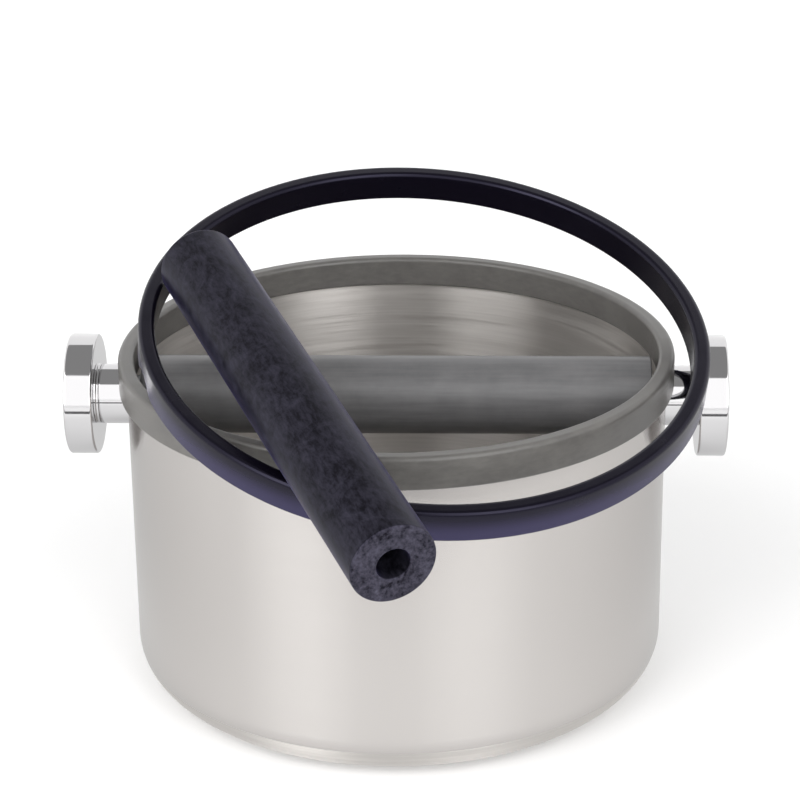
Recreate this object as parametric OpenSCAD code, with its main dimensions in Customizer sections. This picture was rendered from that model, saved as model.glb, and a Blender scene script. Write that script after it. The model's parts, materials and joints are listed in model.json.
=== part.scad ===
// Espresso knock box: a steel bowl with a rubber rim, a rubber-sleeved knock bar
// held by a screwed knob at each end, and a spare rim ring and a spare bar sleeve
// resting on top. Millimetres. The origin is the centre of the face it stands on,
// +Z is up, the bar lies along X and the front is towards -Y.

/* [Bowl] */
// Outside diameter of the bowl
bowl_d = 175; // [150:1:200]
// Height of the bowl's cut top edge above the table
bowl_top_z = 110.5; // [100:0.5:140]
// Thickness of the bowl's sheet
sheet = 1.2; // [0.8:0.1:1.2]
// Outside radius of the rounded bottom corner
corner_r = 13.6; // [8:0.2:20]

/* [Base pad] */
// Diameter of the non-slip pad under the bowl
pad_d = 144; // [100:1:146]
// Thickness of the pad
pad_t = 1.5; // [1:0.1:3]

/* [Rim ring] */
// Width of the ring's section, from its inside to its outside
ring_w = 5.2; // [5:0.1:8]
// How far the ring stands out from the bowl
ring_proud = 2.5; // [2:0.1:3.5]
// Depth of the ring's outer skirt
ring_h = 10.6; // [9:0.1:12]
// How much shorter the inner skirt is
inner_skirt_short = 0.6; // [0:0.1:1]
// Thickness of rubber over the bowl's edge
ring_cap = 2.0; // [1.5:0.1:3]
// Radius on the ring's top corners
ring_round = 1.4; // [0.5:0.1:1.9]
// Clearance between the ring's groove and the sheet, each side
groove_gap = 0.15; // [0.1:0.05:0.3]
// Clearance between the ring and the sheet's top edge
seat_gap = 0.05; // [0.05:0.05:0.1]

/* [Knock bar] */
// Distance from the top of the rim ring down to the bar's axis
bar_drop = 16.9; // [16:0.1:30]
// Diameter of the steel rod
rod_d = 10; // [9:0.5:12]
// Diameter of the rubber sleeve
sleeve_d = 25.5; // [20:0.5:32]
// Clearance between the rod and the sleeve's bore, each side
sleeve_gap = 0.07; // [0.03:0.01:0.1]
// Radius on the sleeve's end edges
sleeve_round = 0.6; // [0.3:0.1:1.5]
// Free space between each end of the sleeve and its washer
sleeve_play = 0.8; // [0.5:0.1:2]

/* [Screw] */
// Outside diameter of the stud's thread
stud_d = 6; // [5:0.5:6]
// Lead of the thread, for one turn of a knob
pitch = 1.0; // [0.8:0.1:1.25]
// Turns that take a knob off the bar
turns = 14; // [10:1:15]
// Clearance between the stud and the rod's tapped end, each side
thread_gap = 0.05; // [0.03:0.01:0.1]
// Depth of each tapped end
tapped_l = 18; // [16:0.5:25]

/* [Washers and gaskets] */
// Diameter of the washer and gasket at each end of the rod
washer_d = 12; // [11:0.5:13]
// Thickness of the washer
washer_t = 1.6; // [1:0.1:2]
// Thickness of the gasket at the middle of its curved face
gasket_t = 1.2; // [1:0.1:2]

/* [Knobs] */
// Diameter of a knob
knob_d = 39.2; // [30:0.2:45]
// Thickness of a knob
knob_t = 9.2; // [7:0.2:14]
// Thickness left over the stud's blind hole
knob_skin = 4.2; // [3:0.2:5]
// Radius on a knob's edges
knob_round = 0.7; // [0.3:0.1:1.5]
// Distance from the bowl's side to a knob's inner face
knob_reach = 10; // [8:0.5:16]
// Diameter of the spacer and of the collar on the knob
spacer_d = 19.6; // [16:0.2:20]
// Length of the knob's collar
collar_l = 0.8; // [0.6:0.1:3]
// Clearance between the spacer and the pieces at its two ends
spacer_gap = 0.1; // [0.1:0.05:0.3]

/* [Spares] */
// Where the middle of the spare ring lies, sideways
spare_ring_x = 9.8; // [9:0.1:10.5]
// Where the middle of the spare ring lies, front to back
spare_ring_y = -21.3; // [-22:0.1:-20.5]
// How high the middle of the spare ring lies
spare_ring_z = 123.4; // [123.4:0.1:126]
// How far the spare ring leans over the front of the rim, in degrees
spare_ring_lean = 16.5; // [16.3:0.1:16.7]
// Which way the spare ring leans, in degrees from straight ahead
spare_ring_turn = 17.4; // [17:0.1:17.8]
// Where the middle of the spare sleeve lies, sideways
spare_sleeve_x = -28.7; // [-29:0.1:-28.4]
// Where the middle of the spare sleeve lies, front to back
spare_sleeve_y = -81.3; // [-81.5:0.1:-81]
// How high the middle of the spare sleeve lies
spare_sleeve_z = 126.6; // [126.6:0.1:127]
// How far the spare sleeve slopes down to the front, in degrees
spare_sleeve_slope = 11.6; // [11.5:0.1:11.7]
// Which way the spare sleeve points, in degrees from the bar
spare_sleeve_turn = 65.6; // [65.4:0.1:65.8]

/* [Hidden] */
$fn = 180;
cut = 1;                                    // how far a cutter passes its face
bowl_r = bowl_d / 2;
wall_r = bowl_r - sheet;                    // inside of the bowl's wall
ring_top_z = bowl_top_z + ring_cap;
ring_out_r = bowl_r + ring_proud;
ring_in_r = ring_out_r - ring_w;
bar_z = ring_top_z - bar_drop;
rod_half = wall_r - gasket_t - washer_t;    // half the rod's length
sleeve_half = rod_half - sleeve_play;       // half the sleeve's length
engaged_l = turns * pitch;                  // stud inside the rod
stud_in_x = rod_half - engaged_l;           // inner end of a stud
knob_in_x = bowl_r + knob_reach;            // inner face of a knob's disc
collar_x = knob_in_x - collar_l;            // inner face of a knob's collar
stud_out_x = knob_in_x + knob_t - knob_skin; // outer end of a stud
stud_hole_d = stud_d + 0.6;                 // hole in the sheet and the gasket
bush_hole_d = stud_d + 0.4;                 // hole in the washer and the spacer
notch_r = spacer_d / 2 + 0.5;               // notch in the ring over a spacer

steel = [0.80, 0.79, 0.77];
chrome = [0.88, 0.88, 0.90];
zinc = [0.70, 0.72, 0.74];
worn_rubber = [0.40, 0.40, 0.39];
new_rubber = [0.11, 0.10, 0.17];
pad_rubber = [0.16, 0.16, 0.16];

// A round bar along +X from x0 to x1, centred on the knock bar's axis.
module bar_x(d, x0, x1) {
    translate([x0, 0, bar_z]) rotate([0, 90, 0]) cylinder(d = d, h = x1 - x0);
}

// Puts a piece made at the +X end at the -X end.
module at_left() { mirror([1, 0, 0]) children(); }

// A filled outline from the axis to radius r, rounded at the bottom outer corner.
module pan_half(r, corner, height) {
    square([r - corner, height]);
    translate([0, corner]) square([r, height - corner]);
    translate([r - corner, corner]) circle(r = corner);
}

// A rectangle from x0 to x1 and y0 to y1 with two of its corners rounded: those at y1.
module round_top_rect(x0, x1, y0, y1, r) {
    translate([x0, y0]) square([x1 - x0, y1 - y0 - r]);
    translate([x0 + r, y0]) square([x1 - x0 - 2 * r, y1 - y0]);
    for (x = [x0 + r, x1 - r]) translate([x, y1 - r]) circle(r = r);
}

module bowl() {
    color(steel) difference() {
        rotate_extrude() difference() {
            translate([0, pad_t]) intersection() {
                pan_half(bowl_r, corner_r, bowl_top_z - pad_t);
                square([bowl_r + cut, bowl_top_z]);
            }
            translate([0, pad_t + sheet]) intersection() {
                pan_half(wall_r, corner_r - sheet, bowl_top_z);
                square([bowl_r + cut, bowl_top_z]);
            }
        }
        bar_x(stud_hole_d, -bowl_r - cut, bowl_r + cut);
    }
}

module base_pad() {
    color(pad_rubber) cylinder(d = pad_d, h = pad_t);
}

// The ring's section turned about its axis, with its groove open downwards.
// Its height is measured from the underside of the outer skirt.
module ring_shape() {
    groove_in_r = wall_r - groove_gap;
    groove_out_r = bowl_r + groove_gap;
    difference() {
        rotate_extrude() difference() {
            round_top_rect(ring_in_r, ring_out_r, 0, ring_h, ring_round);
            translate([groove_in_r, -cut])
                square([groove_out_r - groove_in_r, ring_h - ring_cap + cut]);
            translate([ring_in_r - cut, -cut])
                square([groove_in_r - ring_in_r + 2 * cut, inner_skirt_short + cut]);
        }
        // Notches that pass down over the two spacers
        for (side = [0, 180])
            rotate([0, 0, side])
                translate([wall_r, 0, ring_h - bar_drop])
                    rotate([0, 90, 0]) cylinder(r = notch_r, h = 2 * ring_w);
    }
}

module rim_ring() {
    color(worn_rubber) translate([0, 0, ring_top_z - ring_h + seat_gap]) ring_shape();
}

module bar_rod() {
    color(steel) difference() {
        bar_x(rod_d, -rod_half, rod_half);
        bar_x(stud_d + 2 * thread_gap, rod_half - tapped_l, rod_half + cut);
        bar_x(stud_d + 2 * thread_gap, -rod_half - cut, tapped_l - rod_half);
    }
}

// A thick rubber tube along X, centred on the origin, with rounded end edges.
module sleeve_shape() {
    bore_r = rod_d / 2 + sleeve_gap;
    r = sleeve_d / 2;
    rotate([0, 90, 0]) rotate_extrude() {
        translate([bore_r, -sleeve_half])
            square([r - sleeve_round - bore_r, 2 * sleeve_half]);
        translate([bore_r, sleeve_round - sleeve_half])
            square([r - bore_r, 2 * (sleeve_half - sleeve_round)]);
        for (end = [-1, 1])
            translate([r - sleeve_round, end * (sleeve_half - sleeve_round)])
                circle(r = sleeve_round);
    }
}

module bar_sleeve() {
    color(worn_rubber) translate([0, 0, bar_z]) sleeve_shape();
}

module washer_right() {
    color(zinc) difference() {
        bar_x(washer_d, rod_half, rod_half + washer_t);
        bar_x(bush_hole_d, rod_half - cut, rod_half + washer_t + cut);
    }
}
module washer_left() { at_left() washer_right(); }

// Flat where it meets the washer, and as curved as the wall where it meets the bowl.
module gasket_right() {
    color(pad_rubber) difference() {
        intersection() {
            bar_x(washer_d, rod_half + washer_t, wall_r + cut);
            cylinder(r = wall_r, h = 2 * bar_z);
        }
        bar_x(stud_hole_d, rod_half, wall_r + cut);
    }
}
module gasket_left() { at_left() gasket_right(); }

// Its inner end is coped to the bowl's side, which keeps it from turning.
module spacer_right() {
    color(chrome) difference() {
        bar_x(spacer_d, wall_r, collar_x - spacer_gap);
        cylinder(r = bowl_r + spacer_gap, h = 2 * bar_z);
        bar_x(bush_hole_d, wall_r, collar_x + cut);
    }
}
module spacer_left() { at_left() spacer_right(); }

module stud_right() {
    color(zinc) bar_x(stud_d, stud_in_x, stud_out_x);
}
module stud_left() { at_left() stud_right(); }

// A turned disc with a collar on its inner face and a blind hole for the stud.
module knob_right() {
    r = knob_d / 2;
    color(chrome) difference() {
        translate([knob_in_x, 0, bar_z]) rotate([0, 90, 0]) rotate_extrude() {
            translate([0, -collar_l]) square([spacer_d / 2, collar_l + knob_round]);
            square([r - knob_round, knob_t]);
            translate([0, knob_round]) square([r, knob_t - 2 * knob_round]);
            for (y = [knob_round, knob_t - knob_round])
                translate([r - knob_round, y]) circle(r = knob_round);
        }
        bar_x(stud_d, collar_x - cut, stud_out_x);
    }
}
module knob_left() { at_left() knob_right(); }

// The spare ring is the same moulding as the one on the rim.
module spare_ring() {
    color(new_rubber)
        translate([spare_ring_x, spare_ring_y, spare_ring_z])
            rotate([0, 0, spare_ring_turn]) rotate([spare_ring_lean, 0, 0])
                translate([0, 0, -ring_h / 2]) ring_shape();
}

// The spare sleeve is the same tube as the one on the bar.
module spare_sleeve() {
    color(new_rubber)
        translate([spare_sleeve_x, spare_sleeve_y, spare_sleeve_z])
            rotate([0, spare_sleeve_slope, -spare_sleeve_turn]) sleeve_shape();
}

bowl();
base_pad();
rim_ring();
bar_rod();
bar_sleeve();
washer_left();
washer_right();
gasket_left();
gasket_right();
spacer_left();
spacer_right();
stud_left();
stud_right();
knob_left();
knob_right();
spare_ring();
spare_sleeve();
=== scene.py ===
"""Models an espresso knock box, with a spare rim ring and bar sleeve on top, around its fixed frame.
"""

import json
import math

import bmesh
import bpy
from bpy.props import (
    FloatProperty, FloatVectorProperty, IntProperty, PointerProperty, StringProperty)
from mathutils import Matrix, Vector


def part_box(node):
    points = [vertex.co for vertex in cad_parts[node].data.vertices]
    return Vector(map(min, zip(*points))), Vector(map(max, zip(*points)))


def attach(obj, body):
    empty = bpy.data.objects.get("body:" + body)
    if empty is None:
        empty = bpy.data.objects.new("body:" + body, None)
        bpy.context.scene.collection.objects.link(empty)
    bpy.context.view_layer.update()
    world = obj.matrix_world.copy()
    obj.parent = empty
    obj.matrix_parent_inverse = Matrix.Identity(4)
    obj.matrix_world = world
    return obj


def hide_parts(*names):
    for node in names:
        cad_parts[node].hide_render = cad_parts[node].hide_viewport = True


bl_info = {
    "name": "Espresso Knock Box",
    "version": (1, 0, 0),
    "blender": (4, 5, 0),
    "location": "View3D > Sidebar > Knock Box",
    "description": "Models an espresso knock box with a spare rim ring and a spare bar sleeve",
    "category": "Add Mesh",
}

MM = 0.001
Z_AXIS = Vector((0, 0, 1))
X_AXIS = Vector((1, 0, 0))
WHITE = (1.0, 1.0, 1.0, 1.0)
# Most of a noise's values lie between these two, set as a range's two ends.
NOISE_SPAN = {1: 0.3, 2: 0.7}

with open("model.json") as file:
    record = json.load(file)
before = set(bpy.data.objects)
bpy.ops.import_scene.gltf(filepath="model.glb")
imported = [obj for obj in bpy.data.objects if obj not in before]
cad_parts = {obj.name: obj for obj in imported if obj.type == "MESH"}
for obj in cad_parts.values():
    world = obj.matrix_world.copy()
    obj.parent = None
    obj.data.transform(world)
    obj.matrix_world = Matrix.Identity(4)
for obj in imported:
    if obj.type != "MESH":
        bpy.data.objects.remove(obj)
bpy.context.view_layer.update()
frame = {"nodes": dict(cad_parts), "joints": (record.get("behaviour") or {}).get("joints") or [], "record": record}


def joint(name):
    """The frame's joint of that name."""
    return next(j for j in frame["joints"] if j["name"] == name)


def mount(name):
    """The frame's mount of that name."""
    return next(m for m in frame["record"]["mounts"] if m["name"] == name)


BAR_CENTRE = Vector(joint("bar_sleeve_roll")["pos_m"])


class KnockBoxSizes(bpy.types.PropertyGroup):
    """Sizes that the frame's boxes don't give."""

    sheet: FloatProperty(
        name="Sheet", description="Thickness of the bowl's steel", default=1.2 * MM, unit="LENGTH")
    corner: FloatProperty(
        name="Bottom corner", description="Outside radius of the bowl's bottom corner",
        default=13.6 * MM, unit="LENGTH")
    bar_hole: FloatProperty(
        name="Bar hole", description="Diameter of the hole in the bowl for a stud",
        default=6.6 * MM, unit="LENGTH")
    ring_width: FloatProperty(
        name="Ring width", description="Width of the rim ring's section", default=5.2 * MM, unit="LENGTH")
    ring_round: FloatProperty(
        name="Ring rounding", description="Radius on the rim ring's top corners",
        default=1.4 * MM, unit="LENGTH")
    ring_cap: FloatProperty(
        name="Ring cap", description="Rubber over the bowl's edge", default=2.0 * MM, unit="LENGTH")
    ring_lip: FloatProperty(
        name="Inner skirt", description="How much shorter the inner skirt is", default=0.6 * MM,
        unit="LENGTH")
    groove_gap: FloatProperty(
        name="Groove clearance", description="Between the ring's groove and the sheet",
        default=0.15 * MM, unit="LENGTH")
    notch_gap: FloatProperty(
        name="Notch clearance", description="Between the ring's notch and the spacer",
        default=0.5 * MM, unit="LENGTH")
    sleeve_bore: FloatProperty(
        name="Sleeve bore", description="Diameter of the hole through the sleeve",
        default=10.14 * MM, unit="LENGTH")
    sleeve_round: FloatProperty(
        name="Sleeve rounding", description="Radius on the sleeve's end edges",
        default=0.6 * MM, unit="LENGTH")
    knob_round: FloatProperty(
        name="Knob rounding", description="Radius on the knob's edges", default=0.7 * MM, unit="LENGTH")
    collar: FloatProperty(
        name="Collar length", description="Length of the knob's collar", default=0.8 * MM, unit="LENGTH")
    bush_hole: FloatProperty(
        name="Spacer bore", description="Diameter of the hole through a spacer",
        default=6.4 * MM, unit="LENGTH")
    spacer_gap: FloatProperty(
        name="Spacer clearance", description="Between the spacer and the bowl's side",
        default=0.1 * MM, unit="LENGTH")
    pitch: FloatProperty(
        name="Thread pitch", description="Lead of the stud's thread", default=1.0 * MM, unit="LENGTH")
    thread_depth: FloatProperty(
        name="Thread depth", description="Depth of the stud's thread", default=0.55 * MM, unit="LENGTH")
    pad_groove: FloatProperty(
        name="Pad groove", description="Depth of the grooves under the pad", default=0.5 * MM,
        unit="LENGTH")
    steps: IntProperty(
        name="Steps", description="Faces round a full turn", default=192, min=24, max=360)
    spare_ring_place: FloatVectorProperty(
        name="Spare ring place", description="Middle of the spare ring",
        default=(9.8 * MM, -21.3 * MM, 123.4 * MM), unit="LENGTH")
    spare_ring_lean: FloatProperty(
        name="Spare ring lean", description="How far the spare ring leans forward",
        default=math.radians(16.5), unit="ROTATION")
    spare_ring_turn: FloatProperty(
        name="Spare ring turn", description="Which way the spare ring leans",
        default=math.radians(17.4), unit="ROTATION")


class KnockBoxColours(bpy.types.PropertyGroup):
    """Colours as sRGB hex values."""

    steel: StringProperty(
        name="Steel", description="Satin steel of the bowl's outside", default="#C5C1BE")
    # Paler than the outside's steel: painted light that lifts the shade inside the bowl.
    steel_inside_lightened: StringProperty(
        name="Steel inside", description="Satin steel of the bowl's inside", default="#CCC8C4")
    steel_streak: StringProperty(
        name="Steel streaks", description="Belt lines in the bowl's inside", default="#C4C0BC")
    polished: StringProperty(name="Polished steel", description="Knobs and spacers", default="#CDCCCD")
    plated: StringProperty(name="Plated steel", description="Rod, studs and washers", default="#B9BBBE")
    worn_rubber: StringProperty(
        name="Worn rubber", description="Greyed rubber of the fitted sleeve", default="#5C5C5D")
    worn_patch: StringProperty(
        name="Worn patches", description="Paler patches in the fitted sleeve", default="#6A696A")
    worn_ring: StringProperty(
        name="Worn ring", description="Greyed rubber of the fitted ring", default="#575553")
    worn_ring_patch: StringProperty(
        name="Worn ring patches", description="Paler patches in the fitted ring", default="#62605D")
    new_rubber: StringProperty(
        name="New rubber", description="Blue-black rubber of the spare ring", default="#09070F")
    # Painted sheen: a violet colour low on the spare ring's outer face that stands in for light on it.
    new_painted_sheen: StringProperty(
        name="New rubber painted sheen", description="Painted violet sheen low on its outer face", default="#2D2A42")
    new_gloss: StringProperty(
        name="New rubber gloss", description="Tint of its reflections", default="#DAD6FF")
    marble_dark: StringProperty(
        name="Marbling, dark", description="Ground of the spare sleeve", default="#08080B")
    marble_light: StringProperty(
        name="Marbling, light", description="Clouds in the spare sleeve", default="#302F39")
    marble_cut: StringProperty(
        name="Marbling, cut", description="Clouds on its cut ends", default="#504E5B")
    marble_gloss: StringProperty(
        name="Marbling gloss", description="Tint of its reflections", default="#A8A0E0")
    marble_dust: StringProperty(
        name="Marbling dust", description="Dusty sheen along its sides", default="#8A80D8")
    pad: StringProperty(name="Pad rubber", description="Pad and gaskets", default="#232323")
    floor: StringProperty(name="Floor", description="The surface it stands on", default="#F6F6F6")
    edging: StringProperty(
        name="Table edging", description="Edging on the table's front", default="#3A3A3C")


# ---------------------------------------------------------------- modelling

def deselect():
    """Leaves edit mode and selects nothing."""
    if bpy.context.mode != "OBJECT":
        bpy.ops.object.mode_set(mode="OBJECT")
    bpy.ops.object.select_all(action="DESELECT")


def pick(obj):
    """Selects only this object and makes it the active one."""
    deselect()
    obj.select_set(True)
    bpy.context.view_layer.objects.active = obj


def select_verts(obj, test):
    """In edit mode, selects the vertices whose place passes the test."""
    mesh = bmesh.from_edit_mesh(obj.data)
    for vert in mesh.verts:
        vert.select_set(test(vert.co))
    mesh.select_flush_mode()
    bmesh.update_edit_mesh(obj.data)


def with_guards(outline, closed):
    """Adds a point beside each rounded corner, so that the long faces stay flat when shaded smooth."""
    guard = 0.3 * MM
    count = len(outline)
    points = []
    for i, (along, out, radius) in enumerate(outline):
        here = Vector((along, out))
        if i > 0 or closed:
            before = Vector(outline[i - 1][:2])
            room = (before - here).length - radius - outline[i - 1][2]
            if radius and room > 3 * guard:
                points.append((here + (before - here).normalized() * (radius + guard), 0))
        points.append((here, radius))
        if i < count - 1 or closed:
            after = Vector(outline[(i + 1) % count][:2])
            room = (after - here).length - radius - outline[(i + 1) % count][2]
            if radius and room > 3 * guard:
                points.append((here + (after - here).normalized() * (radius + guard), 0))
    return points


def turned(name, outline, centre, axis, steps, segments=6):
    """Draws an outline by extruding a point, rounds its corners, and spins it into a closed piece.

    Each outline point is (along the axis, out from the axis, corner radius).
    """
    closed = all(out > 0 for _, out, _ in outline)
    side = X_AXIS if abs(axis.z) > 0.5 else Z_AXIS
    points = [(centre + axis * p[0] + side * p[1], r) for p, r in with_guards(outline, closed)]
    deselect()
    bpy.ops.mesh.primitive_plane_add(size=MM, location=points[0][0])
    obj = bpy.context.active_object
    obj.name = name
    bpy.ops.object.transform_apply(location=True)
    bpy.ops.object.mode_set(mode="EDIT")
    bpy.ops.mesh.select_mode(type="VERT")
    bpy.ops.mesh.merge(type="CENTER")
    for (here, _), (there, _) in zip(points, points[1:]):
        bpy.ops.mesh.extrude_region_move(TRANSFORM_OT_translate={"value": there - here})
    bpy.ops.mesh.select_all(action="SELECT")
    bpy.ops.mesh.edge_face_add()
    for place, radius in points:
        if radius:
            select_verts(obj, lambda co: (co - place).length < 0.01 * MM)
            bpy.ops.mesh.bevel(offset=radius, segments=segments, affect="VERTICES", profile=0.5)
    bpy.ops.mesh.select_all(action="SELECT")
    bpy.ops.mesh.delete(type="ONLY_FACE")
    if not closed:
        select_verts(obj, lambda co: abs((co - centre).dot(side)) < 0.001 * MM)
        bpy.ops.mesh.delete(type="EDGE_FACE")
    bpy.ops.mesh.select_all(action="SELECT")
    bpy.ops.mesh.spin(steps=steps, angle=2 * math.pi, center=centre, axis=axis)
    bpy.ops.mesh.select_all(action="SELECT")
    bpy.ops.mesh.remove_doubles(threshold=0.001 * MM)
    bpy.ops.mesh.normals_make_consistent(inside=False)
    bpy.ops.object.mode_set(mode="OBJECT")
    return obj


def smooth(obj, angle=28):
    """Shades smooth all edges under the angle, in degrees."""
    pick(obj)
    bpy.ops.object.shade_smooth_by_angle(angle=math.radians(angle))


def drill(obj, diameter, start, end):
    """Cuts a round hole from start to end."""
    way = end - start
    deselect()
    bpy.ops.mesh.primitive_cylinder_add(
        vertices=96, radius=diameter / 2, depth=way.length, location=(start + end) / 2,
        rotation=way.to_track_quat("Z", "Y").to_euler())
    cutter = bpy.context.active_object
    pick(obj)
    cut = obj.modifiers.new("hole", "BOOLEAN")
    cut.operation = "DIFFERENCE"
    cut.solver = "EXACT"
    cut.object = cutter
    bpy.ops.object.modifier_apply(modifier=cut.name)
    bpy.data.objects.remove(cutter)


def settle(obj, place):
    """Puts a piece made round the origin at its place, and keeps the place in its mesh."""
    pick(obj)
    obj.matrix_world = place
    bpy.ops.object.transform_apply(location=True, rotation=True, scale=True)


def copy_of(obj, name):
    """A copy with its own mesh."""
    pick(obj)
    bpy.ops.object.duplicate(linked=False)
    made = bpy.context.active_object
    made.name = name
    return made


def mirrored(obj, name):
    """The same piece at the other end of the bar."""
    made = copy_of(obj, name)
    bpy.ops.object.mode_set(mode="EDIT")
    bpy.ops.mesh.select_all(action="SELECT")
    bpy.ops.transform.mirror(constraint_axis=(True, False, False), center_override=(0, 0, 0))
    bpy.ops.mesh.normals_make_consistent(inside=False)
    bpy.ops.object.mode_set(mode="OBJECT")
    return made


def finish_piece(obj, body, node_name, finish):
    """Gives a piece its material, hides the frame's node that it stands for, and hangs it on the body it rides on.
    """
    obj.data.materials.clear()
    obj.data.materials.append(finish)
    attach(obj, body)
    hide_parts(node_name)


def paint_node(name, finish):
    """Gives a node of the frame its material."""
    obj = frame["nodes"][name]
    obj.data.materials.clear()
    obj.data.materials.append(finish)


# ---------------------------------------------------------------- materials

def linear(hex_value):
    """An sRGB hex value as linear red, green, blue and alpha."""
    parts = [int(hex_value[i:i + 2], 16) / 255 for i in (1, 3, 5)]
    return tuple(p / 12.92 if p <= 0.04045 else ((p + 0.055) / 1.055) ** 2.4 for p in parts) + (1.0,)


def fill(tree, node, inputs):
    """Fills a node's inputs with values, or links them to sockets or to other nodes' first outputs."""
    for key, value in inputs.items():
        if isinstance(value, bpy.types.Node):
            value = value.outputs[0]
        if isinstance(value, bpy.types.NodeSocket):
            tree.links.new(value, node.inputs[key])
        else:
            node.inputs[key].default_value = value


def add(tree, kind, inputs=None, **settings):
    """Adds a node, sets its properties and fills its inputs."""
    made = tree.nodes.new(kind)
    for key, value in settings.items():
        setattr(made, key, value)
    fill(tree, made, inputs or {})
    return made


def level_part(tree, place):
    """A place's height, and the place with its height left out."""
    split = add(tree, "ShaderNodeSeparateXYZ", {"Vector": place}).outputs
    return split["Z"], add(tree, "ShaderNodeCombineXYZ", {"X": split["X"], "Y": split["Y"]})


def new_material(name):
    """An empty node material, its node tree, its shader, and the place on the piece in metres."""
    material = bpy.data.materials.new(name)
    material.use_nodes = True
    tree = material.node_tree
    tree.nodes.clear()
    shader = add(tree, "ShaderNodeBsdfPrincipled")
    add(tree, "ShaderNodeOutputMaterial", {"Surface": shader})
    return material, tree, shader, add(tree, "ShaderNodeTexCoord").outputs["Object"]


def satin_steel(colours):
    """Stainless sheet, drawn and belt-polished round: silky, with highlights stretched upright.

    The inside is belted more coarsely, so its lines show more; it is painted paler to lift its shade.
    """
    material, tree, shader, place = new_material("satin_stainless_steel")
    height, flat = level_part(tree, place)
    radius = add(tree, "ShaderNodeVectorMath", {0: flat}, operation="LENGTH").outputs["Value"]
    mid_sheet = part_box("bowl")[1].x - 0.6 * MM
    inside = add(tree, "ShaderNodeMath", {0: radius, 1: mid_sheet}, operation="LESS_THAN")
    # Belt lines run round the bowl: the grit's real 0.1 mm is drawn as 0.7 mm so that it shows.
    across = add(tree, "ShaderNodeMath", {0: height, 1: radius}, operation="ADD")
    across = add(tree, "ShaderNodeMath", {0: across, 1: 1 / (0.7 * MM)}, operation="MULTIPLY")
    slow = add(tree, "ShaderNodeVectorMath", {0: flat, "Scale": 1 / (34 * MM)}, operation="SCALE")
    slow = add(tree, "ShaderNodeSeparateXYZ", {"Vector": slow}).outputs
    belt = add(tree, "ShaderNodeCombineXYZ", {"X": slow["X"], "Y": slow["Y"], "Z": across})
    lines = add(tree, "ShaderNodeTexNoise", {
        "Vector": belt, "Scale": 1.0, "Detail": 3.0, "Roughness": 0.55})
    outer_rough = add(tree, "ShaderNodeMapRange", {0: lines, **NOISE_SPAN, 3: 0.185, 4: 0.205})
    inner_rough = add(tree, "ShaderNodeMapRange", {0: lines, **NOISE_SPAN, 3: 0.31, 4: 0.43})
    streak = add(tree, "ShaderNodeMapRange", {0: lines, 1: 0.35, 2: 0.65})
    # The inside's paler colours are painted light, lifting the shade inside the bowl.
    belted = add(tree, "ShaderNodeMix", {
        0: streak, 6: linear(colours.steel_streak), 7: linear(colours.steel_inside_lightened)}, data_type="RGBA")
    colour = add(tree, "ShaderNodeMix", {
        0: inside, 6: linear(colours.steel), 7: belted.outputs[2]}, data_type="RGBA")
    strength = add(tree, "ShaderNodeMapRange", {0: inside, 3: 0.005, 4: 0.3})
    fill(tree, shader, {
        "Base Color": colour.outputs[2],
        "Metallic": 1.0,
        "Roughness": add(tree, "ShaderNodeMix", {0: inside, 2: outer_rough, 3: inner_rough}),
        "Anisotropic": 1.0,
        "Anisotropic Rotation": 0.25,
        "Normal": add(tree, "ShaderNodeBump", {
            "Strength": strength, "Distance": 0.02 * MM, "Height": lines}),
        "Tangent": add(tree, "ShaderNodeTangent", direction_type="RADIAL", axis="Z")})
    return material


def polished_steel(colours):
    """Turned steel, buffed to a mirror: sharp reflections with the faintest haze."""
    material, tree, shader, place = new_material("polished_stainless_steel")
    haze = add(tree, "ShaderNodeTexNoise", {"Vector": place, "Scale": 1 / (6 * MM), "Detail": 3.0})
    fill(tree, shader, {
        "Base Color": linear(colours.polished),
        "Metallic": 1.0,
        "Roughness": add(tree, "ShaderNodeMapRange", {0: haze, **NOISE_SPAN, 3: 0.04, 4: 0.08})})
    return material


def plated_steel(colours):
    """Mild steel, zinc plated: a dull, faintly blotched metal."""
    material, tree, shader, place = new_material("zinc_plated_steel")
    blotch = add(tree, "ShaderNodeTexNoise", {"Vector": place, "Scale": 1 / (3 * MM), "Detail": 5.0})
    fill(tree, shader, {
        "Base Color": linear(colours.plated),
        "Metallic": 1.0,
        "Roughness": add(tree, "ShaderNodeMapRange", {0: blotch, **NOISE_SPAN, 3: 0.3, 4: 0.45})})
    return material


def worn_rubber(name, ground, patch, stretch):
    """Rubber greyed by coffee and washing: satin, mottled, and scuffed along the way it is rubbed."""
    material, tree, shader, place = new_material(name)
    mottle = add(tree, "ShaderNodeTexNoise", {
        "Vector": place, "Scale": 1 / (11 * MM), "Detail": 7.0, "Roughness": 0.66})
    drawn = add(tree, "ShaderNodeMapping", {"Vector": place, "Scale": stretch})
    scuffs = add(tree, "ShaderNodeTexNoise", {
        "Vector": drawn, "Scale": 1 / (1.4 * MM), "Detail": 4.0, "Roughness": 0.6})
    level = add(tree, "ShaderNodeMath", {0: mottle, 1: scuffs}, operation="ADD")
    level = add(tree, "ShaderNodeMapRange", {0: level, 1: 0.8, 2: 1.25})
    colour = add(tree, "ShaderNodeMix", {0: level, 6: linear(ground), 7: linear(patch)}, data_type="RGBA")
    skin = add(tree, "ShaderNodeTexNoise", {"Vector": place, "Scale": 1 / (0.8 * MM), "Detail": 3.0})
    fill(tree, shader, {
        "Base Color": colour.outputs[2],
        "Roughness": add(tree, "ShaderNodeMapRange", {0: level, 3: 0.30, 4: 0.44}),
        "Normal": add(tree, "ShaderNodeBump", {"Strength": 0.1, "Distance": 0.04 * MM, "Height": skin})})
    return material


def worn_ring_rubber(colours):
    """Moulded rubber of the fitted ring, rubbed evenly all round."""
    return worn_rubber(
        "worn_moulded_rubber", colours.worn_ring, colours.worn_ring_patch, (0.35, 0.35, 1))


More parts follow.
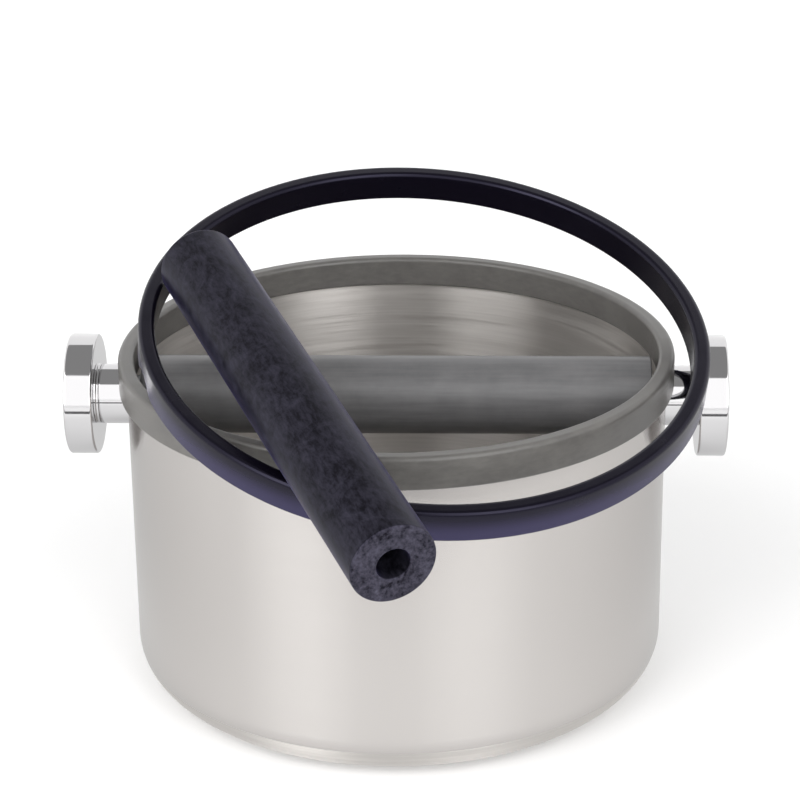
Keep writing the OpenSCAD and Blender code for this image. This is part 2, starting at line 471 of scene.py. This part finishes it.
def worn_sleeve_rubber(colours):
    """Extruded rubber of the fitted sleeve, scuffed along the bar."""
    return worn_rubber("worn_extruded_rubber", colours.worn_rubber, colours.worn_patch, (0.06, 1, 1))


def new_rubber(colours):
    """Moulded rubber, new: blue-black, with a painted violet sheen, a paler colour low on its outer face."""
    material, tree, shader, place = new_material("new_moulded_rubber")
    sizes = bpy.context.scene.knock_box_sizes
    own = add(tree, "ShaderNodeMapping", {
        "Vector": place, "Location": Vector(sizes.spare_ring_place),
        "Rotation": (sizes.spare_ring_lean, 0, sizes.spare_ring_turn)}, vector_type="TEXTURE")
    height, flat = level_part(tree, own)
    radius = add(tree, "ShaderNodeVectorMath", {0: flat}, operation="LENGTH").outputs["Value"]
    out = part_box("rim_ring")[1].x
    # Painted sheen: the outer face is coloured violet low down, standing in for the light's sheen on it.
    outer = add(tree, "ShaderNodeMapRange", {0: radius, 1: out - 1.0 * MM, 2: out - 0.1 * MM})
    lower = add(tree, "ShaderNodeMapRange", {0: height, 1: 3.8 * MM, 2: -3.4 * MM},
                interpolation_type="SMOOTHSTEP")
    painted_sheen = add(tree, "ShaderNodeMath", {0: outer, 1: lower}, operation="MULTIPLY")
    colour = add(tree, "ShaderNodeMix", {
        0: painted_sheen, 6: linear(colours.new_rubber), 7: linear(colours.new_painted_sheen)}, data_type="RGBA")
    gloss = add(tree, "ShaderNodeTexNoise", {"Vector": place, "Scale": 1 / (9 * MM), "Detail": 5.0})
    skin = add(tree, "ShaderNodeTexNoise", {"Vector": place, "Scale": 1 / (0.9 * MM), "Detail": 2.0})
    fill(tree, shader, {
        "Base Color": colour.outputs[2],
        "Roughness": add(tree, "ShaderNodeMapRange", {0: gloss, **NOISE_SPAN, 3: 0.19, 4: 0.28}),
        "Specular IOR Level": 0.26,
        "Specular Tint": linear(colours.new_gloss),
        "Normal": add(tree, "ShaderNodeBump", {"Strength": 0.08, "Distance": 0.05 * MM, "Height": skin})})
    return material


def marbled_rubber(colours):
    """Extruded rubber, cut to length: charcoal, clouded and smeared by the milling, paler where cut."""
    material, tree, shader, place = new_material("marbled_extruded_rubber")
    bore = mount("spare_sleeve_bore")
    turn = X_AXIS.rotation_difference(Vector(bore["axis"])).to_euler()
    own = add(tree, "ShaderNodeMapping", {
        "Vector": place, "Location": Vector(bore["pos_m"]), "Rotation": turn}, vector_type="TEXTURE")
    along = add(tree, "ShaderNodeSeparateXYZ", {"Vector": own}).outputs["X"]
    along = add(tree, "ShaderNodeMath", {0: along}, operation="ABSOLUTE")
    cut_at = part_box("bar_sleeve")[1].x - 0.45 * MM
    cut = add(tree, "ShaderNodeMath", {0: along, 1: cut_at}, operation="GREATER_THAN")
    clouds = add(tree, "ShaderNodeTexNoise", {
        "Vector": own, "Scale": 1 / (9 * MM), "Detail": 8.0, "Roughness": 0.72, "Distortion": 1.4})
    drawn = add(tree, "ShaderNodeMapping", {"Vector": own, "Scale": (0.35, 1, 1)})
    smears = add(tree, "ShaderNodeTexNoise", {
        "Vector": drawn, "Scale": 1 / (1.3 * MM), "Detail": 6.0, "Roughness": 0.7})
    level = add(tree, "ShaderNodeMath", {0: clouds, 1: smears}, operation="ADD")
    low = add(tree, "ShaderNodeMapRange", {0: cut, 3: 0.82, 4: 0.76})
    level = add(tree, "ShaderNodeMapRange", {0: level, 1: low, 2: 1.38})
    light = add(tree, "ShaderNodeMix", {
        0: cut, 6: linear(colours.marble_light), 7: linear(colours.marble_cut)}, data_type="RGBA")
    colour = add(tree, "ShaderNodeMix", {
        0: level, 6: linear(colours.marble_dark), 7: light.outputs[2]}, data_type="RGBA")
    fill(tree, shader, {
        "Base Color": colour.outputs[2],
        "Roughness": add(tree, "ShaderNodeMapRange", {0: level, 3: 0.3, 4: 0.45}),
        "Specular IOR Level": 0.07,
        "Specular Tint": linear(colours.marble_gloss),
        "Sheen Weight": 0.14,
        "Sheen Roughness": 0.3,
        "Sheen Tint": linear(colours.marble_dust),
        "Normal": add(tree, "ShaderNodeBump", {
            "Strength": 0.3, "Distance": 0.12 * MM, "Height": smears})})
    return material


def pad_rubber(colours):
    """Cut rubber sheet: black and dull, with a fine grain."""
    material, tree, shader, place = new_material("cut_rubber_sheet")
    grain = add(tree, "ShaderNodeTexNoise", {"Vector": place, "Scale": 1 / (0.8 * MM), "Detail": 4.0})
    fill(tree, shader, {
        "Base Color": linear(colours.pad),
        "Roughness": add(tree, "ShaderNodeMapRange", {0: grain, **NOISE_SPAN, 3: 0.65, 4: 0.85}),
        "Normal": add(tree, "ShaderNodeBump", {"Strength": 0.3, "Distance": 0.08 * MM, "Height": grain})})
    return material


def floor_paint(colours):
    """Painted board: white and matt, with the slightest unevenness."""
    material, tree, shader, place = new_material("white_painted_board")
    uneven = add(tree, "ShaderNodeTexNoise", {"Vector": place, "Scale": 1 / (30 * MM), "Detail": 2.0})
    fill(tree, shader, {
        "Base Color": linear(colours.floor),
        "Roughness": add(tree, "ShaderNodeMapRange", {0: uneven, **NOISE_SPAN, 3: 0.8, 4: 0.9})})
    return material


def table_edge_paint(colours):
    """Dark edging on the table's front, that the polished pieces mirror as a thin line."""
    material, tree, shader, place = new_material("dark_table_edging")
    uneven = add(tree, "ShaderNodeTexNoise", {"Vector": place, "Scale": 1 / (20 * MM), "Detail": 2.0})
    fill(tree, shader, {
        "Base Color": linear(colours.edging),
        "Roughness": add(tree, "ShaderNodeMapRange", {0: uneven, **NOISE_SPAN, 3: 0.7, 4: 0.8})})
    return material


def material_of(maker):
    """The material that a maker makes, made once."""
    key = "finish_" + maker.__name__
    if key not in bpy.context.scene:
        bpy.context.scene[key] = maker(bpy.context.scene.knock_box_colours).name
    return bpy.data.materials[bpy.context.scene[key]]


# ---------------------------------------------------------------- operators

class KNOCKBOX_OT_stage(bpy.types.Operator):
    """Sets the camera, the pale floor and the soft light"""

    bl_idname = "knockbox.stage"
    bl_label = "Stage"
    # Each window's turn from the front, in degrees, and its brightness.
    windows = ((-40.0, 1.6), (34.0, 1.0))
    # A window's light begins and is full at these cosines off its middle, with this share of it.
    panes = ((0.922, 0.94, 1.0), (0.96, 0.998, 1.3))

    def execute(self, context):
        self.camera(context)
        self.sheet("floor", (8.0, 8.0), (0, 0, 0), material_of(floor_paint))
        self.sheet("table_edging", (2.4, 0.13), (0, -0.38, 0.8 * MM), material_of(table_edge_paint),
                   unseen_by=("camera", "diffuse", "shadow"))
        self.sheet("reflector_card", (2.0, 2.0), (0, 0, 0.4 * MM), self.lit_card(),
                   unseen_by=("camera", "diffuse", "shadow"))
        self.light(context)
        return {"FINISHED"}

    def camera(self, context):
        pitch, yaw, roll = math.radians(22.64), math.radians(-2.19), math.radians(-0.63)
        data = bpy.data.cameras.new("camera")
        data.sensor_width = 36
        data.lens = 120.3
        data.clip_end = 20
        camera = bpy.data.objects.new("camera", data)
        context.scene.collection.objects.link(camera)
        camera.matrix_world = (
            Matrix.Translation((31.9 * MM, -806.7 * MM, 430.3 * MM))
            @ Matrix.Rotation(-yaw, 4, "Z")
            @ Matrix.Rotation(math.pi / 2 - pitch, 4, "X")
            @ Matrix.Rotation(roll, 4, "Z"))
        context.scene.camera = camera

    def sheet(self, name, size, middle, finish, unseen_by=()):
        """A flat sheet of the stage, which some kinds of ray may pass."""
        deselect()
        bpy.ops.mesh.primitive_plane_add(size=1, location=middle)
        made = bpy.context.active_object
        made.name = name
        made.scale = (*size, 1)
        bpy.ops.object.transform_apply(location=True, rotation=True, scale=True)
        for ray in unseen_by:
            setattr(made, "visible_" + ray, False)
        made.data.materials.append(finish)

    def light(self, context):
        """A pale room with a dim ceiling, and in front a tall window on each side."""
        world = bpy.data.worlds.new("studio")
        context.scene.world = world
        context.scene.view_settings.view_transform = "Standard"
        world.use_nodes = True
        tree = world.node_tree
        tree.nodes.clear()
        height, flat = level_part(tree, add(tree, "ShaderNodeTexCoord").outputs["Generated"])
        heading = add(tree, "ShaderNodeVectorMath", {0: flat}, operation="NORMALIZE")
        front = self.facing(tree, heading, 0)
        level = add(tree, "ShaderNodeMapRange", {0: front, 1: 0.55, 2: 0.95, 3: 1.2, 4: 1.6},
                    interpolation_type="SMOOTHSTEP")
        for turn, gain in self.windows:
            for edge, full, share in self.panes:
                level = self.lobe(tree, heading, turn, (edge, full), gain * share, level)
        # The ceiling comes lower at the back than in front.
        height = add(tree, "ShaderNodeMath", {0: front, 1: -0.03, 2: height}, operation="MULTIPLY_ADD")
        ceiling = add(tree, "ShaderNodeMapRange", {0: height, 1: 0.78, 2: 0.805},
                      interpolation_type="SMOOTHSTEP")
        level = add(tree, "ShaderNodeMix", {0: ceiling, 2: level, 3: 0.33})
        background = add(tree, "ShaderNodeBackground", {"Color": WHITE, "Strength": level})
        add(tree, "ShaderNodeOutputWorld", {"Surface": background})

    def lit_card(self):
        """A softly lit card, brightest in front and far out, that shows only in reflections."""
        card = bpy.data.materials.new("lit_reflector_card")
        card.use_nodes = True
        tree = card.node_tree
        tree.nodes.clear()
        flat = level_part(tree, add(tree, "ShaderNodeTexCoord").outputs["Object"])[1]
        heading = add(tree, "ShaderNodeVectorMath", {0: flat}, operation="NORMALIZE")
        front = self.facing(tree, heading, 0)
        level = add(tree, "ShaderNodeMapRange", {0: front, 1: -0.5, 2: 1.0, 3: 0.74, 4: 1.2})
        for turn in (-32, 32):
            level = self.lobe(tree, heading, turn, (0.86, 1.0), 0.03, level)
        reach = add(tree, "ShaderNodeVectorMath", {0: flat}, operation="LENGTH").outputs["Value"]
        # The first range brightens the card far out; the second dims it within 8 to 12 cm of the middle, as
        # painted shade for the floor's contact shadow under the box.
        for start, end, low, high in ((0.21, 0.36, 1.0, 1.14), (0.078, 0.12, 0.74, 1.0)):
            share = add(tree, "ShaderNodeMapRange", {0: reach, 1: start, 2: end, 3: low, 4: high},
                        interpolation_type="SMOOTHSTEP")
            level = add(tree, "ShaderNodeMath", {0: level, 1: share}, operation="MULTIPLY")
        glow = add(tree, "ShaderNodeEmission", {"Color": WHITE, "Strength": level})
        add(tree, "ShaderNodeOutputMaterial", {"Surface": glow})
        return card

    def facing(self, tree, heading, turn):
        """The cosine between a heading and a turn from the front, in degrees."""
        at = (math.sin(math.radians(turn)), -math.cos(math.radians(turn)), 0)
        cosine = add(tree, "ShaderNodeVectorMath", {0: heading, 1: at}, operation="DOT_PRODUCT")
        return cosine.outputs["Value"]

    def lobe(self, tree, heading, turn, cosines, gain, level):
        """Adds light towards one turn, rising between two cosines off it from nothing to the gain."""
        off = self.facing(tree, heading, turn)
        pane = add(tree, "ShaderNodeMapRange", {0: off, 1: cosines[0], 2: cosines[1], 4: gain},
                   interpolation_type="SMOOTHSTEP")
        return add(tree, "ShaderNodeMath", {0: level, 1: pane}, operation="ADD")


class KNOCKBOX_OT_bowl(bpy.types.Operator):
    """Turns the steel bowl and drills it for the bar"""

    bl_idname = "knockbox.bowl"
    bl_label = "Bowl"

    def execute(self, context):
        sizes = context.scene.knock_box_sizes
        low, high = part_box("bowl")
        radius, edge = high.x, 0.25 * MM
        inside = radius - sizes.sheet
        outline = [
            (low.z, 0, 0), (low.z, radius, sizes.corner), (high.z, radius, edge), (high.z, inside, edge),
            (low.z + sizes.sheet, inside, sizes.corner - sizes.sheet), (low.z + sizes.sheet, 0, 0)]
        bowl = turned("bowl_drawn", outline, Vector(), Z_AXIS, sizes.steps, 14)
        reach = Vector((radius + 5 * MM, 0, 0))
        drill(bowl, sizes.bar_hole, BAR_CENTRE - reach, BAR_CENTRE + reach)
        smooth(bowl)
        finish_piece(bowl, "box", "bowl", material_of(satin_steel))
        return {"FINISHED"}


class KNOCKBOX_OT_pad(bpy.types.Operator):
    """Turns the grooved pad under the bowl"""

    bl_idname = "knockbox.pad"
    bl_label = "Base pad"

    def execute(self, context):
        sizes = context.scene.knock_box_sizes
        low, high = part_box("base_pad")
        radius, land, groove = high.x, 5 * MM, 2 * MM
        outline = [(high.z, 0, 0), (high.z, radius, 0), (low.z, radius, 0.3 * MM)]
        out = radius - land
        while out > 2 * land:
            outline += [(low.z, out, 0), (low.z + sizes.pad_groove, out, 0),
                        (low.z + sizes.pad_groove, out - groove, 0), (low.z, out - groove, 0)]
            out -= land + groove
        outline.append((low.z, 0, 0))
        pad = turned("pad_grooved", outline, Vector(), Z_AXIS, sizes.steps // 2, 4)
        smooth(pad)
        finish_piece(pad, "box", "base_pad", material_of(pad_rubber))
        return {"FINISHED"}


class KNOCKBOX_OT_rings(bpy.types.Operator):
    """Turns the rim ring with its groove and notches, and copies it as the spare"""

    bl_idname = "knockbox.rings"
    bl_label = "Rim rings"

    def execute(self, context):
        sizes = context.scene.knock_box_sizes
        low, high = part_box("rim_ring")
        out, tip = high.x, 0.5 * MM
        bowl_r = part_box("bowl")[1].x
        groove_out = bowl_r + sizes.groove_gap
        groove_in = bowl_r - sizes.sheet - sizes.groove_gap
        inner = out - sizes.ring_width
        lip = low.z + sizes.ring_lip
        outline = [
            (low.z, groove_out, tip), (low.z, out, tip), (high.z, out, sizes.ring_round),
            (high.z, inner, sizes.ring_round), (lip, inner, tip), (lip, groove_in, tip / 2),
            (high.z - sizes.ring_cap, groove_in, 0), (high.z - sizes.ring_cap, groove_out, 0)]
        ring = turned("rim_ring_moulded", outline, Vector(), Z_AXIS, sizes.steps, 6)
        notch = 2 * (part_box("spacer_right")[1].y + sizes.notch_gap)
        for side in (-1, 1):
            start = BAR_CENTRE + Vector((side * groove_in, 0, 0))
            drill(ring, notch, start, start + Vector((side * 2 * sizes.ring_width, 0, 0)))
        smooth(ring)
        spare = copy_of(ring, "spare_ring_moulded")
        middle = Vector((0, 0, (low.z + high.z) / 2))
        place = (
            Matrix.Translation(Vector(sizes.spare_ring_place))
            @ Matrix.Rotation(sizes.spare_ring_turn, 4, "Z")
            @ Matrix.Rotation(sizes.spare_ring_lean, 4, "X")
            @ Matrix.Translation(-middle))
        settle(spare, place)
        finish_piece(ring, "rim", "rim_ring", material_of(worn_ring_rubber))
        finish_piece(spare, "loose_ring", "spare_ring", material_of(new_rubber))
        return {"FINISHED"}


class KNOCKBOX_OT_sleeves(bpy.types.Operator):
    """Turns the bar's rubber sleeve, and copies it as the spare"""

    bl_idname = "knockbox.sleeves"
    bl_label = "Bar sleeves"

    def execute(self, context):
        sizes = context.scene.knock_box_sizes
        low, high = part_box("bar_sleeve")
        out, bore = high.y, sizes.sleeve_bore / 2
        mouth = 0.3 * MM
        outline = [
            (low.x, bore, mouth), (low.x, out, sizes.sleeve_round), (high.x, out, sizes.sleeve_round),
            (high.x, bore, mouth)]
        sleeve = turned("bar_sleeve_extruded", outline, BAR_CENTRE, X_AXIS, sizes.steps // 2, 5)
        smooth(sleeve)
        spare = copy_of(sleeve, "spare_sleeve_extruded")
        spare_bore = mount("spare_sleeve_bore")
        turn = X_AXIS.rotation_difference(Vector(spare_bore["axis"])).to_matrix().to_4x4()
        place = (
            Matrix.Translation(Vector(spare_bore["pos_m"])) @ turn @ Matrix.Translation(-BAR_CENTRE))
        settle(spare, place)
        finish_piece(sleeve, "sleeve", "bar_sleeve", material_of(worn_sleeve_rubber))
        finish_piece(spare, "loose_sleeve", "spare_sleeve", material_of(marbled_rubber))
        return {"FINISHED"}


class KNOCKBOX_OT_knobs(bpy.types.Operator):
    """Turns the knobs, the spacers and the threaded studs of both ends"""

    bl_idname = "knockbox.knobs"
    bl_label = "Knobs, spacers and studs"

    def execute(self, context):
        sizes = context.scene.knock_box_sizes
        for made, part, body, slot, maker in (
                (self.knob(sizes), "knob", "knob", "polished_steel", polished_steel),
                (self.spacer(sizes), "spacer", "spacer", "polished_steel", polished_steel),
                (self.stud(sizes), "stud", "knob", "plated_steel", plated_steel)):
            smooth(made)
            other = mirrored(made, made.name.replace("right", "left"))
            smooth(other)
            for obj, side in ((made, "right"), (other, "left")):
                finish_piece(obj, side + "_" + body, part + "_" + side, material_of(maker))
        return {"FINISHED"}

    def knob(self, sizes):
        low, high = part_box("knob_right")
        radius, collar = high.y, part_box("spacer_right")[1].y
        face = low.x + sizes.collar
        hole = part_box("stud_right")
        outline = [
            (hole[1].x, 0, 0), (hole[1].x, hole[1].y, 0), (low.x, hole[1].y, 0.2 * MM),
            (low.x, collar, 0.15 * MM), (face, collar, 0.25 * MM), (face, radius, sizes.knob_round),
            (high.x, radius, sizes.knob_round), (high.x, 0, 0)]
        return turned("knob_right_turned", outline, BAR_CENTRE, X_AXIS, sizes.steps, 6)

    def spacer(self, sizes):
        low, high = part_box("spacer_right")
        # The inner end is turned too long, and then cut to the bowl's curve.
        start = low.x - 4 * MM
        clear = Vector((0, 0, 30 * MM))
        bore = sizes.bush_hole / 2
        outline = [
            (start, bore, 0), (start, high.y, 0), (high.x, high.y, 0.15 * MM),
            (high.x, bore, 0.15 * MM)]
        made = turned("spacer_right_turned", outline, BAR_CENTRE, X_AXIS, sizes.steps, 3)
        bowl_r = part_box("bowl")[1].x + sizes.spacer_gap
        drill(made, 2 * bowl_r, BAR_CENTRE - clear, BAR_CENTRE + clear)
        return made

    def stud(self, sizes):
        """One turn of thread is drawn, screwed along the bar's axis and cut to length."""
        low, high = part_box("stud_right")
        crest, root, pitch = high.y, high.y - sizes.thread_depth, sizes.pitch
        land = 0.08 * pitch
        points = [(0, root), (0.5 * pitch - land, crest), (0.5 * pitch + land, crest), (pitch, root)]
        begin = low.x - 2 * pitch
        deselect()
        bpy.ops.mesh.primitive_plane_add(size=MM, location=(begin, 0, root))
        made = bpy.context.active_object
        made.name = "stud_right_threaded"
        bpy.ops.object.transform_apply(location=True)
        bpy.ops.object.mode_set(mode="EDIT")
        bpy.ops.mesh.select_mode(type="VERT")
        bpy.ops.mesh.merge(type="CENTER")
        for (x0, r0), (x1, r1) in zip(points, points[1:]):
            bpy.ops.mesh.extrude_region_move(TRANSFORM_OT_translate={"value": (x1 - x0, 0, r1 - r0)})
        bpy.ops.object.mode_set(mode="OBJECT")
        screw = made.modifiers.new("thread", "SCREW")
        screw.axis = "X"
        screw.screw_offset = pitch
        screw.iterations = math.ceil((high.x - low.x) / pitch) + 3
        screw.steps = screw.render_steps = 32
        screw.use_merge_vertices = True
        screw.merge_threshold = 0.001 * MM
        pick(made)
        bpy.ops.object.modifier_apply(modifier=screw.name)
        settle(made, Matrix.Translation(BAR_CENTRE))
        bpy.ops.object.mode_set(mode="EDIT")
        for x, way in ((low.x, -1), (high.x, 1)):
            bpy.ops.mesh.select_all(action="SELECT")
            bpy.ops.mesh.remove_doubles(threshold=0.001 * MM)
            bpy.ops.mesh.bisect(
                plane_co=(x, 0, 0), plane_no=(way, 0, 0), use_fill=True, clear_outer=True, threshold=1e-7)
        bpy.ops.mesh.select_all(action="SELECT")
        bpy.ops.mesh.normals_make_consistent(inside=False)
        bpy.ops.object.mode_set(mode="OBJECT")
        return made


class KNOCKBOX_OT_rod(bpy.types.Operator):
    """Finishes the rod, washers and gaskets inside the bowl"""

    bl_idname = "knockbox.rod"
    bl_label = "Rod, washers and gaskets"

    def execute(self, context):
        paint_node("bar_rod", material_of(plated_steel))
        for side in ("left", "right"):
            paint_node("washer_" + side, material_of(plated_steel))
            paint_node("gasket_" + side, material_of(pad_rubber))
        return {"FINISHED"}


class KNOCKBOX_PT_panel(bpy.types.Panel):
    """Lists the pieces of the knock box"""

    bl_label = "Knock Box"
    bl_idname = "KNOCKBOX_PT_panel"
    bl_space_type = "VIEW_3D"
    bl_region_type = "UI"
    bl_category = "Knock Box"

    def draw(self, context):
        for operator in OPERATORS:
            self.layout.operator(operator.bl_idname)
        for group in (context.scene.knock_box_sizes, context.scene.knock_box_colours):
            box = self.layout.box()
            for name in group.bl_rna.properties.keys():
                if name not in ("rna_type", "name"):
                    box.prop(group, name)


OPERATORS = (KNOCKBOX_OT_stage, KNOCKBOX_OT_bowl, KNOCKBOX_OT_pad, KNOCKBOX_OT_rings, KNOCKBOX_OT_sleeves,
             KNOCKBOX_OT_knobs, KNOCKBOX_OT_rod)
CLASSES = (KnockBoxSizes, KnockBoxColours, *OPERATORS, KNOCKBOX_PT_panel)


def register():
    for cls in CLASSES:
        bpy.utils.register_class(cls)
    bpy.types.Scene.knock_box_sizes = PointerProperty(type=KnockBoxSizes)
    bpy.types.Scene.knock_box_colours = PointerProperty(type=KnockBoxColours)


def unregister():
    del bpy.types.Scene.knock_box_colours
    del bpy.types.Scene.knock_box_sizes
    for cls in reversed(CLASSES):
        bpy.utils.unregister_class(cls)


def main():
    """Builds the whole scene."""
    register()
    bpy.ops.knockbox.stage()
    bpy.ops.knockbox.bowl()
    bpy.ops.knockbox.pad()
    bpy.ops.knockbox.rings()
    bpy.ops.knockbox.sleeves()
    bpy.ops.knockbox.knobs()
    bpy.ops.knockbox.rod()
    deselect()


if __name__ == "__main__":
    main()
